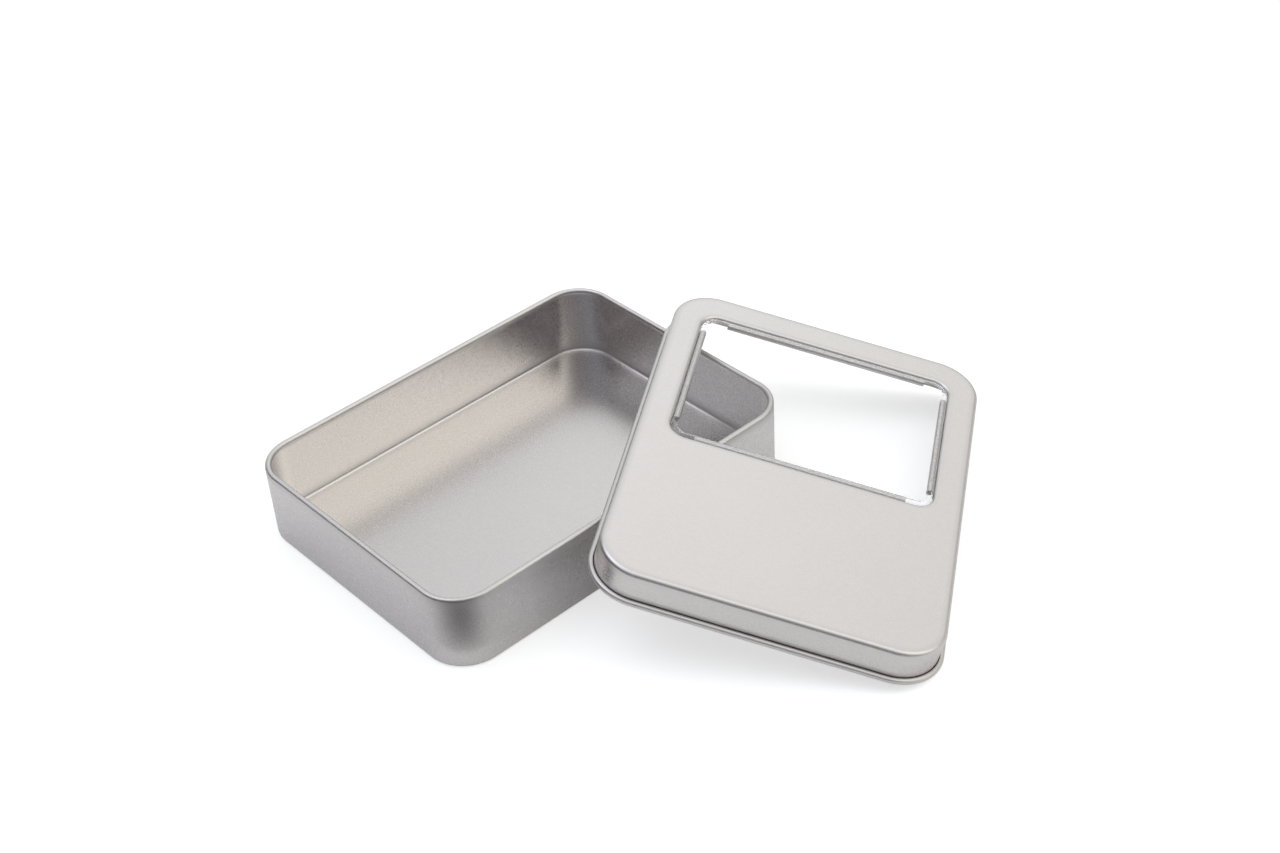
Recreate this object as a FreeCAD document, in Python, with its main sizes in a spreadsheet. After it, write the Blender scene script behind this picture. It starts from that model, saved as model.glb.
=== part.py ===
import FreeCAD, Part
import math
import os
import Sketcher

# A shallow pressed tin and its loose slip lid. The lid has a clear window and leans on the
# tin: one long side of it lies on the table and the other on the tin's rim.
#
# Frame: the origin is the middle of the tin's flat underside, +X runs along the tin's long
# side, +Y along its short side and +Z is up. All lengths are in millimetres, and angles in
# degrees.

DRIVING_SIZES = {
    # The tin.
    "base_length": 115.0,
    "base_width": 85.0,
    "base_height": 22.0,
    "corner_radius": 11.5,
    "base_edge_radius": 1.2,
    "rim_curl_radius": 0.85,
    "sheet": 0.25,
    # The lid's skirt, measured square to its top.
    "lid_height": 9.4,
    "lid_clearance": 0.15,
    "lid_edge_radius": 1.3,
    "lid_bead_radius": 0.8,
    # The window's opening, up to where the flat top begins to bend down.
    "window_length": 54.5,
    "window_end_margin": 8.4,
    "window_side_margin": 7.2,
    "window_corner_radius": 5.7,
    "window_fold_radius": 1.0,
    "window_curl_radius": 0.85,
    "window_curl_drop": 1.2,
    "window_crease_radius": 0.08,
    "window_curl_end_gap": 2.2,
    # The clear pane, a thin pressed film.
    "pane_sheet": 0.22,
    "pane_play": 0.03,
    "pane_drop": 0.35,
    # How the lid leans.
    "lean_yaw": 35.5,
    "lean_corner_reach": 2.95,
    "lean_rim_gap": 0.12,
    "lean_pane_gap": 0.52,
}

# Where the pressed sheet's curls end, as angles about each curl's own centre.
RIM_CURL_END = 290.0
LID_BEAD_END = 470.0
PANE_LIP_ANGLE = 30.0

# How far an edge or a face may lie from a level and still count as lying in it.
LEVEL_TOLERANCE = 1e-4

document = FreeCAD.newDocument("window_tin")


# ---------------------------------------------------------------- sizes bound to the sheet

class Size:
    """A number together with the expression that ties it to the spreadsheet."""

    def __init__(self, number, text):
        self.number = number
        self.text = text

    def joined(self, other, operator, number):
        return Size(number, "(" + self.text + " " + operator + " " + other.text + ")")

    def __add__(self, other):
        other = as_size(other)
        return self.joined(other, "+", self.number + other.number)

    def __sub__(self, other):
        other = as_size(other)
        return self.joined(other, "-", self.number - other.number)

    def __mul__(self, other):
        other = as_size(other)
        return self.joined(other, "*", self.number * other.number)

    def __truediv__(self, other):
        other = as_size(other)
        return self.joined(other, "/", self.number / other.number)

    def __rmul__(self, other):
        return as_size(other) * self


def as_size(value):
    if isinstance(value, Size):
        return value
    return Size(float(value), repr(float(value)))


def as_angle(value):
    return Size(float(value), repr(float(value)) + " deg")


def sine(angle):
    return Size(math.sin(math.radians(angle.number)), "sin(" + angle.text + ")")


def cosine(angle):
    return Size(math.cos(math.radians(angle.number)), "cos(" + angle.text + ")")


def arc_sine(ratio):
    return Size(math.degrees(math.asin(ratio.number)), "asin(" + ratio.text + ")")


def write_sheet():
    """Put every driving size in the spreadsheet, and return each as a Size."""
    sheet = document.addObject("Spreadsheet::Sheet", "sizes")
    sizes = {}
    for row, (name, value) in enumerate(DRIVING_SIZES.items(), start=1):
        cell = "B" + str(row)
        sheet.set("A" + str(row), name)
        sheet.set(cell, str(value))
        sheet.setAlias(cell, name)
        sizes[name] = Size(value, "sizes." + name)
    document.recompute()
    return sizes


SIZES = write_sheet()
SHEET = SIZES["sheet"]
ZERO = as_size(0.0)

# Sizes that follow from the driving ones.
LID_INNER_LENGTH = SIZES["base_length"] + 2 * SIZES["lid_clearance"]
LID_INNER_WIDTH = SIZES["base_width"] + 2 * SIZES["lid_clearance"]
LID_INNER_RADIUS = SIZES["corner_radius"] + SIZES["lid_clearance"]
LID_LENGTH = LID_INNER_LENGTH + 2 * SHEET
LID_WIDTH = LID_INNER_WIDTH + 2 * SHEET
LID_RADIUS = LID_INNER_RADIUS + SHEET
WINDOW_WIDTH = LID_WIDTH - 2 * SIZES["window_side_margin"]
WINDOW_END = LID_LENGTH / 2 - SIZES["window_end_margin"]
WINDOW_MIDDLE = WINDOW_END - SIZES["window_length"] / 2
CURL_LEVEL = SIZES["lid_height"] - SIZES["window_curl_drop"]
CREASE_INSET = SIZES["window_fold_radius"] + SIZES["window_crease_radius"]
CURL_INSET = CREASE_INSET + SIZES["window_crease_radius"] + SIZES["window_curl_radius"]


# ---------------------------------------------------------------- sketches

def origin_plane(body, role):
    for feature in body.Origin.OriginFeatures:
        if feature.Role == role:
            return feature
    raise ValueError("no origin plane " + role)


def new_sketch(body, name, role, offset=ZERO):
    """A sketch on one of the body's own origin planes, moved along the plane's normal."""
    sketch = body.newObject("Sketcher::SketchObject", name)
    sketch.AttachmentSupport = [(origin_plane(body, role), "")]
    sketch.MapMode = "FlatFace"
    sketch.AttachmentOffset = FreeCAD.Placement(
        FreeCAD.Vector(0, 0, offset.number), FreeCAD.Rotation())
    if offset is not ZERO:
        sketch.setExpression("AttachmentOffset.Base.z", offset.text)
    return sketch


def hold(sketch, kind, *places):
    sketch.addConstraint(Sketcher.Constraint(kind, *places))


def measure(sketch, kind, size, *places):
    """A dimension whose value is bound to the spreadsheet."""
    number = size.number
    if kind == "Angle":
        number = math.radians(number)
    index = sketch.addConstraint(Sketcher.Constraint(kind, *places, number))
    sketch.setExpression("Constraints[" + str(index) + "]", size.text)


def line(sketch, start, end):
    return sketch.addGeometry(Part.LineSegment(
        FreeCAD.Vector(start[0], start[1], 0), FreeCAD.Vector(end[0], end[1], 0)))


def arc(sketch, centre, radius, start, end):
    circle = Part.Circle(
        FreeCAD.Vector(centre[0], centre[1], 0), FreeCAD.Vector(0, 0, 1), radius)
    return sketch.addGeometry(
        Part.ArcOfCircle(circle, math.radians(start), math.radians(end)))


def place_centre(sketch, curve, across, up):
    measure(sketch, "DistanceX", across, -1, 1, curve, 3)
    measure(sketch, "DistanceY", up, -1, 1, curve, 3)


def rounded_rectangle(sketch, length, width, radius, middle=ZERO):
    """A rounded rectangle about (middle, 0), whose outline starts halfway up its right side."""
    right = middle + length / 2
    left = length / 2 - middle
    half = width / 2
    x_right, x_left = right.number, -left.number
    y, r = half.number, radius.number
    outline = [
        line(sketch, (x_right, 0), (x_right, y - r)),
        arc(sketch, (x_right - r, y - r), r, 0, 90),
        line(sketch, (x_right - r, y), (x_left + r, y)),
        arc(sketch, (x_left + r, y - r), r, 90, 180),
        line(sketch, (x_left, y - r), (x_left, r - y)),
        arc(sketch, (x_left + r, r - y), r, 180, 270),
        line(sketch, (x_left + r, -y), (x_right - r, -y)),
        arc(sketch, (x_right - r, r - y), r, 270, 360),
        line(sketch, (x_right, r - y), (x_right, 0)),
    ]
    for before, after in zip(outline, outline[1:]):
        hold(sketch, "Tangent", before, 2, after, 1)
    upper, north_east, top, _, side, _, bottom, _, lower = outline
    hold(sketch, "Coincident", lower, 2, upper, 1)
    hold(sketch, "PointOnObject", upper, 1, -1)
    for upright in (upper, side, lower):
        hold(sketch, "Vertical", upright)
    for level in (top, bottom):
        hold(sketch, "Horizontal", level)
    for corner in outline[3:8:2]:
        hold(sketch, "Equal", north_east, corner)
    measure(sketch, "Radius", radius, north_east)
    measure(sketch, "DistanceX", right, -1, 1, upper, 1)
    measure(sketch, "DistanceX", left, side, 1, -1, 1)
    measure(sketch, "DistanceY", half, -1, 1, top, 1)
    measure(sketch, "DistanceY", half, bottom, 1, -1, 1)


def curl_section(sketch, across, up, outer, inner, start, end):
    """The section of a rolled sheet: part of a ring about (across, up)."""
    centre = (across.number, up.number)
    big = arc(sketch, centre, outer.number, start.number, end.number)
    small = arc(sketch, centre, inner.number, start.number, end.number)
    hold(sketch, "Coincident", big, 3, small, 3)
    place_centre(sketch, big, across, up)
    measure(sketch, "Radius", outer, big)
    measure(sketch, "Radius", inner, small)
    for angle, end_point in ((start, 1), (end, 2)):
        turn = math.radians(angle.number)
        inner_end = (centre[0] + inner.number * math.cos(turn),
                     centre[1] + inner.number * math.sin(turn))
        outer_end = (centre[0] + outer.number * math.cos(turn),
                     centre[1] + outer.number * math.sin(turn))
        cap = line(sketch, inner_end, outer_end)
        hold(sketch, "Coincident", cap, 1, small, end_point)
        hold(sketch, "Coincident", cap, 2, big, end_point)
        hold(sketch, "PointOnObject", big, 3, cap)
        if angle.number % 180.0 == 0.0:
            hold(sketch, "Horizontal", cap)
        else:
            whole_turns = as_angle(360.0 * (angle.number // 360.0))
            measure(sketch, "Angle", angle - whole_turns, cap)


def fold_section(sketch, edge):
    """The lip round the window: the top sheet bends down at edge, then runs straight down."""
    outer = SIZES["window_fold_radius"]
    inner = outer - SHEET
    centre_level = SIZES["lid_height"] - outer
    across, up = edge.number, centre_level.number
    face, back = across - outer.number, across - inner.number
    foot = CURL_LEVEL.number
    big = arc(sketch, (across, up), outer.number, 90, 180)
    small = arc(sketch, (across, up), inner.number, 90, 180)
    front_line = line(sketch, (face, up), (face, foot))
    back_line = line(sketch, (back, up), (back, foot))
    foot_line = line(sketch, (face, foot), (back, foot))
    top_line = line(sketch, (across, up + outer.number), (across, up + inner.number))
    hold(sketch, "Tangent", big, 2, front_line, 1)
    hold(sketch, "Tangent", small, 2, back_line, 1)
    hold(sketch, "Coincident", front_line, 2, foot_line, 1)
    hold(sketch, "Coincident", back_line, 2, foot_line, 2)
    hold(sketch, "Coincident", top_line, 1, big, 1)
    hold(sketch, "Coincident", top_line, 2, small, 1)
    hold(sketch, "Coincident", big, 3, small, 3)
    place_centre(sketch, big, edge, centre_level)
    measure(sketch, "Radius", outer, big)
    measure(sketch, "Radius", inner, small)
    hold(sketch, "Vertical", top_line)
    hold(sketch, "PointOnObject", big, 3, top_line)
    hold(sketch, "Vertical", front_line)
    hold(sketch, "Vertical", back_line)
    hold(sketch, "Horizontal", foot_line)
    measure(sketch, "DistanceY", CURL_LEVEL, -1, 1, foot_line, 1)


def window_curl_section(sketch, edge):
    """The sheet past the lip's foot: a tight crease, then a roll that stands up beside it."""
    crease_inner = SIZES["window_crease_radius"]
    crease_outer = crease_inner + SHEET
    roll_outer = SIZES["window_curl_radius"]
    roll_inner = roll_outer - SHEET
    crease_at = edge - CREASE_INSET
    roll_at = edge - CURL_INSET
    level = CURL_LEVEL.number
    crease = (crease_at.number, level)
    roll = (roll_at.number, level)
    crease_small = arc(sketch, crease, crease_inner.number, 180, 360)
    crease_big = arc(sketch, crease, crease_outer.number, 180, 360)
    roll_big = arc(sketch, roll, roll_outer.number, 0, 270)
    roll_small = arc(sketch, roll, roll_inner.number, 0, 270)
    joint_line = line(sketch, (crease[0] + crease_inner.number, level),
                      (crease[0] + crease_outer.number, level))
    end_line = line(sketch, (roll[0], level - roll_inner.number),
                    (roll[0], level - roll_outer.number))
    hold(sketch, "Tangent", crease_small, 1, roll_big, 1)
    hold(sketch, "Tangent", crease_big, 1, roll_small, 1)
    hold(sketch, "Coincident", joint_line, 1, crease_small, 2)
    hold(sketch, "Coincident", joint_line, 2, crease_big, 2)
    hold(sketch, "Coincident", end_line, 1, roll_small, 2)
    hold(sketch, "Coincident", end_line, 2, roll_big, 2)
    hold(sketch, "Coincident", crease_small, 3, crease_big, 3)
    hold(sketch, "Coincident", roll_small, 3, roll_big, 3)
    place_centre(sketch, crease_small, crease_at, CURL_LEVEL)
    measure(sketch, "DistanceY", CURL_LEVEL, -1, 1, roll_big, 3)
    measure(sketch, "Radius", crease_inner, crease_small)
    measure(sketch, "Radius", crease_outer, crease_big)
    measure(sketch, "Radius", roll_outer, roll_big)
    hold(sketch, "Horizontal", joint_line)
    hold(sketch, "PointOnObject", crease_small, 3, joint_line)
    hold(sketch, "Vertical", end_line)
    hold(sketch, "PointOnObject", roll_big, 3, end_line)


# ---------------------------------------------------------------- features

def new_body(name):
    body = document.addObject("PartDesign::Body", name)
    body.Label = name
    return body


def pad(body, name, sketch, length, both_ways=False):
    feature = body.newObject("PartDesign::Pad", name)
    feature.Profile = sketch
    feature.Length = length.number
    feature.setExpression("Length", length.text)
    feature.Midplane = both_ways
    document.recompute()
    return feature


def sweep(body, name, section, path):
    feature = body.newObject("PartDesign::AdditivePipe", name)
    feature.Profile = section
    feature.Spine = (path, ["Edge" + str(n + 1) for n in range(path.GeometryCount)])
    document.recompute()


def names_at(level, kind, shapes):
    """The names of the edges or faces that lie flat at the given height."""
    names = []
    for number, shape in enumerate(shapes, start=1):
        box = shape.BoundBox
        farthest = max(abs(box.ZMin - level.number), abs(box.ZMax - level.number))
        if farthest < LEVEL_TOLERANCE:
            names.append(kind + str(number))
    return names


def round_edges_at(body, name, level, radius):
    """Round the outline of the flat end that lies at the given height."""
    base = body.Tip
    feature = body.newObject("PartDesign::Fillet", name)
    feature.Base = (base, names_at(level, "Edge", base.Shape.Edges))
    feature.Radius = radius.number
    feature.setExpression("Radius", radius.text)
    document.recompute()


def hollow_from(body, name, level):
    """Leave a sheet of even thickness, open at the flat end that lies at the given height."""
    base = body.Tip
    feature = body.newObject("PartDesign::Thickness", name)
    feature.Base = (base, names_at(level, "Face", base.Shape.Faces))
    feature.Value = SHEET.number
    feature.setExpression("Value", SHEET.text)
    feature.Reversed = True
    document.recompute()


def mirror(body, name, feature, plane):
    copy = body.newObject("PartDesign::Mirrored", name)
    copy.Originals = [feature]
    copy.MirrorPlane = (plane, [""])
    body.Tip = copy
    document.recompute()


# ---------------------------------------------------------------- the tin

def make_base():
    """A drawn tray whose wall ends in a curl rolled inwards."""
    body = new_body("tin_base")
    curl = SIZES["rim_curl_radius"]
    curl_level = SIZES["base_height"] - curl
    outline = new_sketch(body, "base_outline", "XY_Plane")
    rounded_rectangle(outline, SIZES["base_length"], SIZES["base_width"],
                      SIZES["corner_radius"])
    pad(body, "base_block", outline, curl_level)
    round_edges_at(body, "base_edge", ZERO, SIZES["base_edge_radius"])
    hollow_from(body, "base_shell", curl_level)
    section = new_sketch(body, "rim_section", "XZ_Plane")
    curl_section(section, SIZES["base_length"] / 2 - curl, curl_level,
                 curl, curl - SHEET, as_angle(0.0), as_angle(RIM_CURL_END))
    path = new_sketch(body, "rim_path", "XY_Plane", curl_level)
    rounded_rectangle(path, SIZES["base_length"] - 2 * curl, SIZES["base_width"] - 2 * curl,
                      SIZES["corner_radius"] - curl)
    document.recompute()
    sweep(body, "rim_curl", section, path)
    return body


# ---------------------------------------------------------------- the lid

def add_skirt_bead(body):
    """The skirt's free edge, rolled outwards."""
    bead = SIZES["lid_bead_radius"]
    section = new_sketch(body, "bead_section", "XZ_Plane")
    curl_section(section, LID_INNER_LENGTH / 2 + bead, bead,
                 bead, bead - SHEET, as_angle(180.0), as_angle(LID_BEAD_END))
    path = new_sketch(body, "bead_path", "XY_Plane", bead)
    rounded_rectangle(path, LID_INNER_LENGTH + 2 * bead, LID_INNER_WIDTH + 2 * bead,
                      LID_INNER_RADIUS + bead)
    document.recompute()
    sweep(body, "skirt_bead", section, path)


def cut_window(body):
    opening = new_sketch(body, "window_outline", "XY_Plane", SIZES["lid_height"])
    rounded_rectangle(opening, SIZES["window_length"], WINDOW_WIDTH,
                      SIZES["window_corner_radius"], WINDOW_MIDDLE)
    pocket = body.newObject("PartDesign::Pocket", "window_opening")
    pocket.Profile = opening
    pocket.Length = 2 * SHEET.number
    pocket.setExpression("Length", (2 * SHEET).text)
    document.recompute()


def add_window_fold(body):
    """The lip that runs unbroken round the window, corners too."""
    fold = SIZES["window_fold_radius"]
    section = new_sketch(body, "fold_section", "XZ_Plane")
    fold_section(section, WINDOW_END)
    path = new_sketch(body, "fold_path", "XY_Plane", CURL_LEVEL)
    rounded_rectangle(path, SIZES["window_length"] - 2 * fold, WINDOW_WIDTH - 2 * fold,
                      SIZES["window_corner_radius"] - fold, WINDOW_MIDDLE)
    document.recompute()
    sweep(body, "window_fold", section, path)


def add_window_curls(body):
    """Four straight rolls with open ends, one along each side of the window."""
    corner = SIZES["window_corner_radius"] + SIZES["window_curl_end_gap"]
    across = new_sketch(body, "end_curl_section", "XZ_Plane")
    window_curl_section(across, WINDOW_END)
    end_curl = pad(body, "end_curl", across, WINDOW_WIDTH - 2 * corner, True)
    middle = body.newObject("PartDesign::Plane", "window_middle")
    middle.AttachmentSupport = [(origin_plane(body, "YZ_Plane"), "")]
    middle.MapMode = "FlatFace"
    middle.setExpression("AttachmentOffset.Base.z", WINDOW_MIDDLE.text)
    document.recompute()
    mirror(body, "inner_curl", end_curl, middle)
    along = new_sketch(body, "side_curl_section", "YZ_Plane", WINDOW_MIDDLE)
    window_curl_section(along, WINDOW_WIDTH / 2)
    side_curl = pad(body, "side_curl", along, SIZES["window_length"] - 2 * corner, True)
    mirror(body, "other_side_curl", side_curl, origin_plane(body, "XZ_Plane"))


def make_lid():
    """A drawn lid with a rolled skirt and a window in one half of its top."""
    body = new_body("lid")
    bead = SIZES["lid_bead_radius"]
    outline = new_sketch(body, "lid_outline", "XY_Plane", bead)
    rounded_rectangle(outline, LID_LENGTH, LID_WIDTH, LID_RADIUS)
    pad(body, "lid_block", outline, SIZES["lid_height"] - bead)
    round_edges_at(body, "lid_edge", SIZES["lid_height"], SIZES["lid_edge_radius"])
    hollow_from(body, "lid_shell", bead)
    add_skirt_bead(body)
    cut_window(body)
    add_window_fold(body)
    add_window_curls(body)
    return body


# ---------------------------------------------------------------- the pane

def make_pane():
    """A clear film that caps the four rolls and dips to a flat plate between them."""
    body = new_body("window_pane")
    film = SIZES["pane_sheet"]
    inner = SIZES["window_curl_radius"] + SIZES["pane_play"]
    outer = inner + film
    plate_foot = SIZES["lid_height"] - SIZES["pane_drop"] - film
    reach = arc_sine((plate_foot - CURL_LEVEL) / inner)
    overlap = (inner + film / 2) * cosine(reach)
    plate_inset = CURL_INSET + overlap
    plate = new_sketch(body, "plate_outline", "XY_Plane", plate_foot)
    rounded_rectangle(plate, SIZES["window_length"] - 2 * plate_inset,
                      WINDOW_WIDTH - 2 * plate_inset,
                      SIZES["window_corner_radius"] - plate_inset, WINDOW_MIDDLE)
    pad(body, "plate", plate, film)
    section = new_sketch(body, "cap_section", "XZ_Plane")
    curl_section(section, WINDOW_END - CURL_INSET, CURL_LEVEL, outer, inner,
                 as_angle(PANE_LIP_ANGLE), as_angle(180.0) - reach)
    path = new_sketch(body, "cap_path", "XY_Plane", CURL_LEVEL)
    rounded_rectangle(path, SIZES["window_length"] - 2 * CURL_INSET,
                      WINDOW_WIDTH - 2 * CURL_INSET,
                      SIZES["window_corner_radius"] - CURL_INSET, WINDOW_MIDDLE)
    document.recompute()
    sweep(body, "cap", section, path)
    return body


# ---------------------------------------------------------------- the lean

def lean_on_base(body):
    """Place a body of the lid so that its skirt's bead lies on the table and on the rim.

    The tilt follows from the rim's height and the space between the lid's two long beads.
    The tin's corner then stands up into the lid's hollow, lean_pane_gap below the pane.
    The raised bead crosses the tin's short side lean_corner_reach past its own straight part.
    """
    yaw = SIZES["lean_yaw"]
    bead = SIZES["lid_bead_radius"]
    rim = SIZES["rim_curl_radius"]
    gap = SIZES["lean_rim_gap"]
    rise = SIZES["base_height"] + gap
    bead_reach = LID_INNER_WIDTH / 2 + bead
    tilt = arc_sine(rise / (2 * bead_reach))
    pane_foot = SIZES["lid_height"] - SIZES["pane_drop"] - SIZES["pane_sheet"]
    corner_level = pane_foot - SIZES["lean_pane_gap"]
    corner_offset = (corner_level - bead - rim
                     + (gap + bead + rim) * cosine(tilt)) / sine(tilt)
    corner_reach = ((SIZES["base_length"] / 2 - SIZES["corner_radius"]) * sine(yaw)
                    + (SIZES["base_width"] / 2 - SIZES["corner_radius"]) * cosine(yaw)
                    + (SIZES["corner_radius"] - rim))
    bead_line = corner_offset - corner_reach
    crossing = (SIZES["base_length"] / 2 - rim + bead_line * sine(yaw)) / cosine(yaw)
    straight_half = LID_INNER_LENGTH / 2 - LID_INNER_RADIUS
    along = crossing - (straight_half + SIZES["lean_corner_reach"])
    aside = bead_line - bead_reach * cosine(tilt) + bead * sine(tilt)
    x = along * cosine(yaw) - aside * sine(yaw)
    y = along * sine(yaw) + aside * cosine(yaw)
    z = bead + rise / 2 - bead * cosine(tilt)
    vector = "create(<<vector>>; " + x.text + "; " + y.text + "; " + z.text + ")"
    rotation = "create(<<rotation>>; " + yaw.text + "; 0; " + tilt.text + ")"
    body.setExpression("Placement", "create(<<placement>>; " + vector + "; " + rotation + ")")


# ---------------------------------------------------------------- checks and files

def check_objects():
    for item in document.Objects:
        if "Invalid" in item.State or "Error" in item.State:
            raise RuntimeError(item.Label + " did not rebuild: " + str(item.State))


def check_shape(body):
    shape = body.Shape
    if shape.isNull() or not shape.isValid():
        raise RuntimeError(body.Label + " has no valid shape")
    if len(shape.Solids) != 1:
        raise RuntimeError(body.Label + " is " + str(len(shape.Solids)) + " solids")


def main():
    base = make_base()
    lid = make_lid()
    pane = make_pane()
    for body in (lid, pane):
        lean_on_base(body)
    document.recompute()
    check_objects()
    os.makedirs("parts", exist_ok=True)
    for body in (base, lid, pane):
        check_shape(body)
        body.Shape.exportStep("parts/" + body.Label + ".step")
        box = body.Shape.optimalBoundingBox(False)
        print(body.Label, "volume", round(body.Shape.Volume, 2), "box",
              [round(v, 2) for v in (box.XMin, box.YMin, box.ZMin, box.XMax, box.YMax, box.ZMax)])


main()
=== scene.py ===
import math

import bmesh
import bpy
from mathutils import Euler, Matrix, Vector


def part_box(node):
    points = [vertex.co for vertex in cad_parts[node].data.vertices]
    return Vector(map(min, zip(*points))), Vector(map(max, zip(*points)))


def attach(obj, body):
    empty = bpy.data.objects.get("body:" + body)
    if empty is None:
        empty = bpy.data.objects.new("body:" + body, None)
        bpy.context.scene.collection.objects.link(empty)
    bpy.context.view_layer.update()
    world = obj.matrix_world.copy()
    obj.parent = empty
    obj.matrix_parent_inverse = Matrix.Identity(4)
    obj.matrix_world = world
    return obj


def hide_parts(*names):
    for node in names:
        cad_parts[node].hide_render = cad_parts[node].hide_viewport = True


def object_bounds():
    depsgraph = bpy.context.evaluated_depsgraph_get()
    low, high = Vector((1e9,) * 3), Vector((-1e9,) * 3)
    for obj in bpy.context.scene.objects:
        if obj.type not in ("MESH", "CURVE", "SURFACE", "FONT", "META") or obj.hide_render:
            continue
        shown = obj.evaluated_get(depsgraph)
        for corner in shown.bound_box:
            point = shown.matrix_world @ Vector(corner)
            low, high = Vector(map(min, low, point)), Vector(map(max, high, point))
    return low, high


# A shallow pressed tin and its loose slip lid, which leans on one corner of the tin. The lid
# has a clear window, held by four rolled edges. The frame is the CAD's: the origin is the
# middle of the tin's underside, +X runs along the tin's long side and +Z is up.

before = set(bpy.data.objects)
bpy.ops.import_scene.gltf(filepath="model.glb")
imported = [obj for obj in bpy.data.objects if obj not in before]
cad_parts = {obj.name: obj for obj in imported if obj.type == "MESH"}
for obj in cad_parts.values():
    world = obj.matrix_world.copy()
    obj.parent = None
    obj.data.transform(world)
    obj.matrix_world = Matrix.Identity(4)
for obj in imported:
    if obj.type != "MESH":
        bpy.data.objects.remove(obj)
cad_low, cad_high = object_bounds()

MM = 0.001


# ---------------------------------------------------------------- sizes, in millimetres

# The tin.
tin_low, tin_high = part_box("tin_base")
TIN_LENGTH, TIN_WIDTH, TIN_HEIGHT = (tin_high - tin_low) / MM
CORNER_RADIUS = 11.5
SHEET = 0.25
TIN_EDGE_RADIUS = 1.2
RIM_CURL_RADIUS = 0.85
RIM_CURL_END = 290.0

# The lid's skirt.
LID_CLEARANCE = 0.15
LID_HEIGHT = 9.4
LID_EDGE_RADIUS = 1.3
LID_BEAD_RADIUS = 0.8
LID_BEAD_END = 470.0
LID_LENGTH = TIN_LENGTH + 2 * (LID_CLEARANCE + SHEET)
LID_WIDTH = TIN_WIDTH + 2 * (LID_CLEARANCE + SHEET)
LID_CORNER_RADIUS = CORNER_RADIUS + LID_CLEARANCE + SHEET

# The window's opening, up to where the flat top begins to bend down.
WINDOW_LENGTH = 54.5
WINDOW_END_MARGIN = 8.4
WINDOW_SIDE_MARGIN = 7.2
WINDOW_CORNER_RADIUS = 5.7
WINDOW_WIDTH = LID_WIDTH - 2 * WINDOW_SIDE_MARGIN
WINDOW_MIDDLE = LID_LENGTH / 2 - WINDOW_END_MARGIN - WINDOW_LENGTH / 2

# The fold round the window, the tight crease at its foot and the roll beside that.
FOLD_RADIUS = 1.0
CURL_RADIUS = 0.85
CURL_DROP = 1.2
CURL_LEVEL = LID_HEIGHT - CURL_DROP
CREASE_RADIUS = 0.08
CREASE_INSET = FOLD_RADIUS + CREASE_RADIUS
CURL_INSET = CREASE_INSET + CREASE_RADIUS + CURL_RADIUS
CURL_END = 315.0

# Each roll ends at this gap before the window's round corners, so it is shorter than its side
# by the shortfall.
CURL_END_GAP = 2.2
CURL_SHORTFALL = 2 * (WINDOW_CORNER_RADIUS + CURL_END_GAP)

# The clear film, which caps the rolls.
FILM = 0.22
FILM_PLAY = 0.03
FILM_DROP = 0.35
FILM_LEVEL = LID_HEIGHT - FILM_DROP - FILM
FILM_EDGE_ANGLE = 30.0
FILM_FILLET = 0.4

# The crumples at the film's corners begin this far in from the window's opening, and grow over
# the band to their full depth. The scale is in noise cells to the metre.
FILM_BEND = 7.6
CRINKLE_BAND = 2.5
CRINKLE_DEPTH = 0.3
CRINKLE_SCALE = 1100.0
CRINKLE_DETAIL = 1.0
NOISE_MIDDLE = (0.5, 0.5, 0.5)

# The lid's tilt follows from the tin's height and the space between the lid's two long beads.
LEAN_YAW = math.radians(35.5)
LEAN_RIM_GAP = 0.12
BEAD_SPACING = TIN_WIDTH + 2 * (LID_CLEARANCE + LID_BEAD_RADIUS)
LEAN_TILT = math.asin((TIN_HEIGHT + LEAN_RIM_GAP) / BEAD_SPACING)

# How finely the sheet is drawn: steps along an outline, round an arc in degrees and up a wall.
OUTLINE_STEP = 0.55
FILM_STEP = 0.3
CORNER_STEPS = 40
ARC_STEP = 9.0
WALL_STEP = 2.5

# A section ends in a flat strip of this width, where a plate joins it. Points closer than the
# merge distance become one, and edges that turn further than the sharp angle stay sharp.
FLAT_MARGIN = 1.2
MERGE_DISTANCE = 0.002
SHARP_ANGLE = math.radians(38.0)

# A section's marks, which the finished mesh keeps and the materials read: an edge that is worn,
# the outside of a roll or film bent round one, and the hidden inside of a roll, where the metal
# carries painted shade.
MARK = "mark"
PLAIN = 0.0
WORN = 0.6
ROLLED = 1.0
HIDDEN = 2.0


# ---------------------------------------------------------------- node trees

class Value:
    """An output of a node, on which sums are written as in plain Python."""

    def __init__(self, tree, source):
        self.tree = tree
        self.source = source

    def math(self, operation, *numbers):
        """A Math node on the given numbers, or on this value alone."""
        inputs = dict(enumerate(numbers or (self,)))
        return self.tree.add("ShaderNodeMath", {"operation": operation}, inputs)

    def __add__(self, other):
        return self.math("ADD", self, other)

    def __radd__(self, other):
        return self.math("ADD", other, self)

    def __sub__(self, other):
        return self.math("SUBTRACT", self, other)

    def __rsub__(self, other):
        return self.math("SUBTRACT", other, self)

    def __mul__(self, other):
        return self.math("MULTIPLY", self, other)

    def __rmul__(self, other):
        return self.math("MULTIPLY", other, self)

    def __truediv__(self, other):
        return self.math("DIVIDE", self, other)

    def power(self, exponent):
        return self.math("POWER", self, exponent)

    def less_than(self, limit):
        return self.math("LESS_THAN", self, limit)

    def size(self):
        return self.math("ABSOLUTE")

    def exponential(self):
        return self.math("EXPONENT")

    def within(self, low, high):
        """0 at low and 1 at high, with a smooth step between them."""
        return self.tree.add(
            "ShaderNodeMapRange", {"interpolation_type": "SMOOTHSTEP"},
            {"Value": self, "From Min": low, "From Max": high})


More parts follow.
